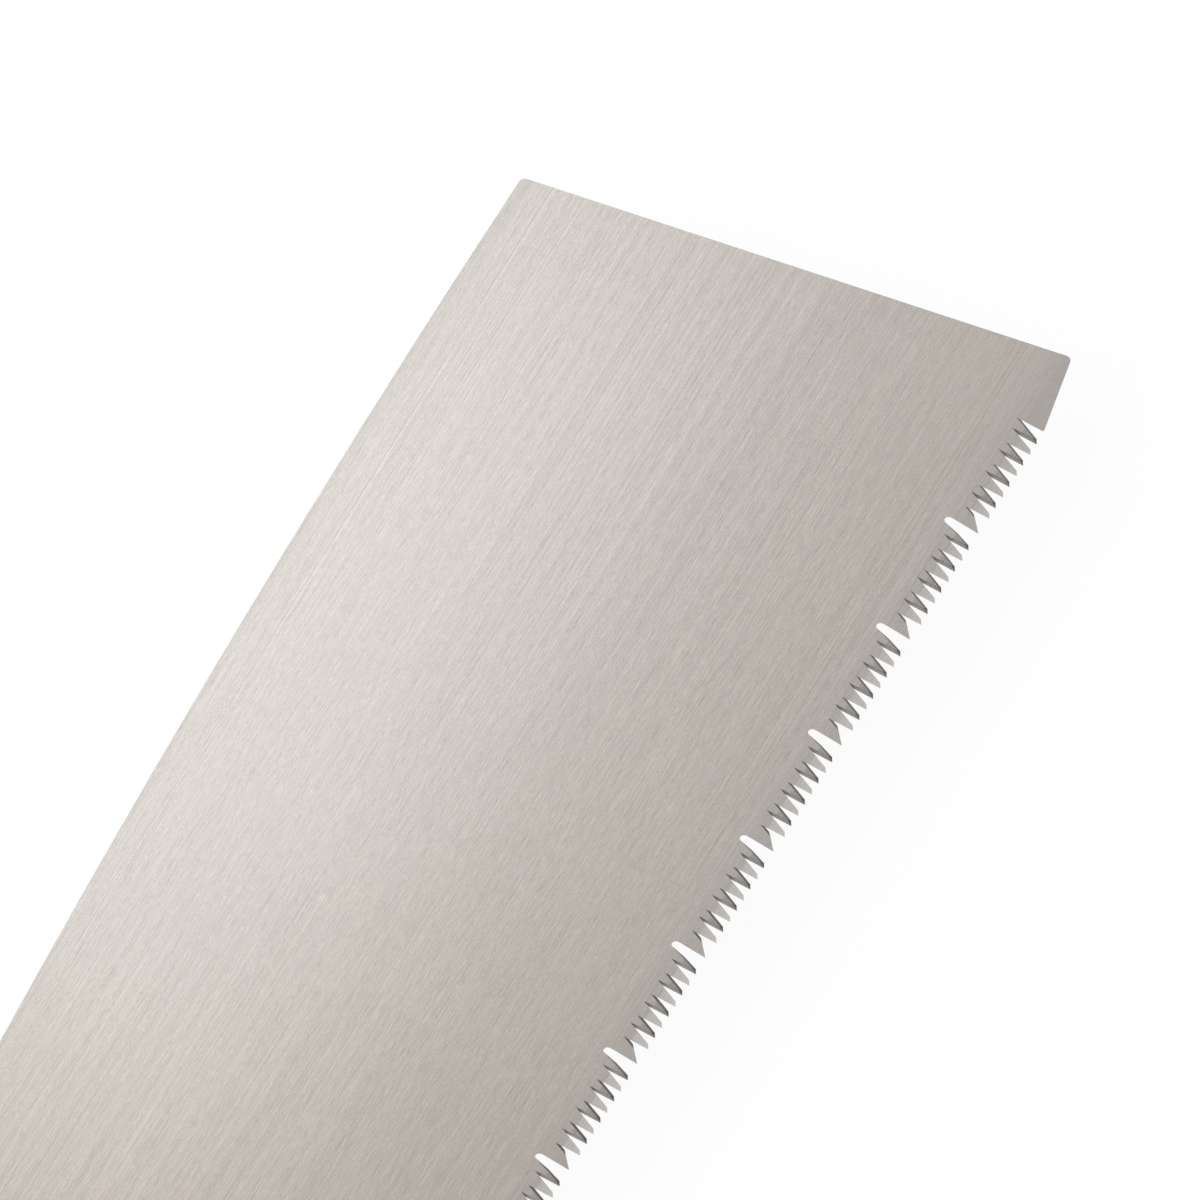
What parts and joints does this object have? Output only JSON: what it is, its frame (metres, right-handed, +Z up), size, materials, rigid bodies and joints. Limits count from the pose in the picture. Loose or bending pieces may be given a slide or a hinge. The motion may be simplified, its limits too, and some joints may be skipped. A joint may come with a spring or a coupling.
{
  "type": "kataba saw",
  "caption": "Kataba pull saw: thin spring-steel blade with set teeth and rakers, held by a thumb-screw clamp in a straight, rattan-bound wooden handle with a hanging eyelet.",
  "frame": {"origin": "middle of the saw's box at its bottom, on the surface that the ferrule and the end cap lie on", "axes": "+X towards the toe of the blade, -Y the way the teeth point, +Z up, square to the right face of the blade"},
  "size_m": [0.6184, 0.0672, 0.029],
  "materials": {
    "blade_steel": "ground along the blade, fine streaks, satin",
    "holder_steel": "rolled sheet, lightly brushed",
    "clamp_steel": "bright zinc plate",
    "cypress": "planed and oiled, straight grain",
    "oak": "dark stained and oiled",
    "rattan": "split cane with its glossy skin outward",
    "brass": "turned, slightly dulled"
  },
  "bodies": {
    "handle": {"upper_cheek": "holder_steel", "lower_cheek": "holder_steel", "holder_spacer": "holder_steel", "clamp_nut": "clamp_steel", "ferrule": "clamp_steel", "front_pin": "holder_steel", "rear_rivet": "brass", "rear_burr": "brass", "core_upper": "cypress", "core_lower": "cypress", "rattan_winding": "rattan", "front_tack": "brass", "rear_tack": "brass", "end_cap": "oak", "cap_pin": "holder_steel", "hang_eyelet": "brass", "eyelet_washer": "brass"},
    "blade": {"blade": "blade_steel"},
    "washer": {"clamp_washer": "clamp_steel"},
    "screw": {"clamp_screw": "clamp_steel"}
  },
  "joints": [
    {"name": "blade_slide", "type": "slide", "parent": "handle", "child": "blade", "axis": [1, 0, 0], "range_m": [0, 0.034]},
    {"name": "washer_lift", "type": "slide", "parent": "handle", "child": "washer", "axis": [0, 0, 1], "range_m": [0, 0.0025]},
    {"name": "screw_turn", "type": "hinge", "parent": "washer", "child": "screw", "pos_m": [-0.01621, 0.01208, 0.0145], "axis": [0, 0, 1], "range_deg": [0, 1080]}
  ],
  "couplings": [
    {"joint": "washer_lift", "follows": "screw_turn", "m_per_rad": 0.00012732}
  ]
}
